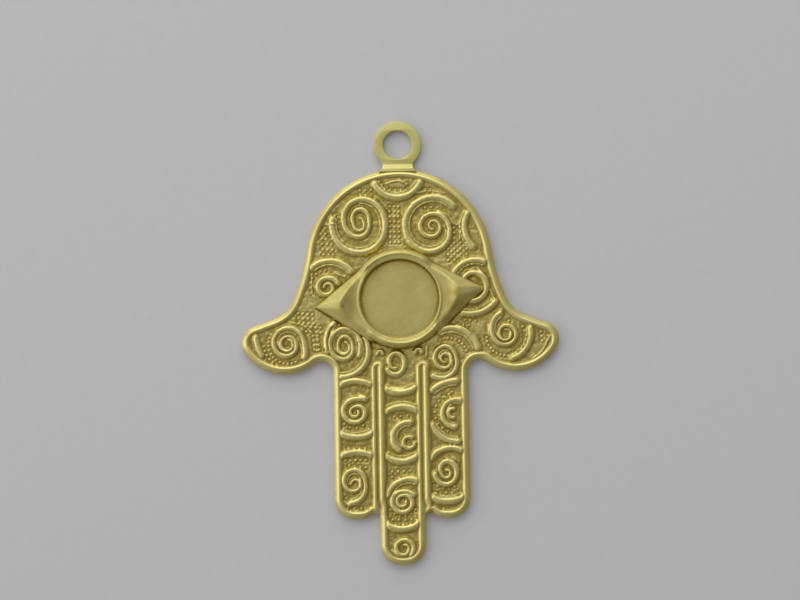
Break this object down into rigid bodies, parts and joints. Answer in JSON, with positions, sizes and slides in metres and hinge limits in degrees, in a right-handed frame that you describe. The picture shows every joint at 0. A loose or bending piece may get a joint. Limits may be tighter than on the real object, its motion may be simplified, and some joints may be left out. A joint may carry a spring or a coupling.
{
  "type": "hamsa pendant",
  "caption": "Flat hand-shaped pendant stamped in raw brass, with an almond eye round an empty stone seat, scrolls over palm and fingers, and a flat hanging ring.",
  "frame": {"origin": "centre of the bounding box's base, on the surface the pendant lies on, under the middle of the hand", "axes": "+Y from the fingers up to the hanging ring, +Z out of the ornamented front, +X to the right seen from the front"},
  "size_m": [0.0404, 0.0568, 0.0025],
  "materials": {
    "brass": "satin"
  },
  "bodies": {
    "root": {"hamsa": "brass"}
  },
  "joints": []
}
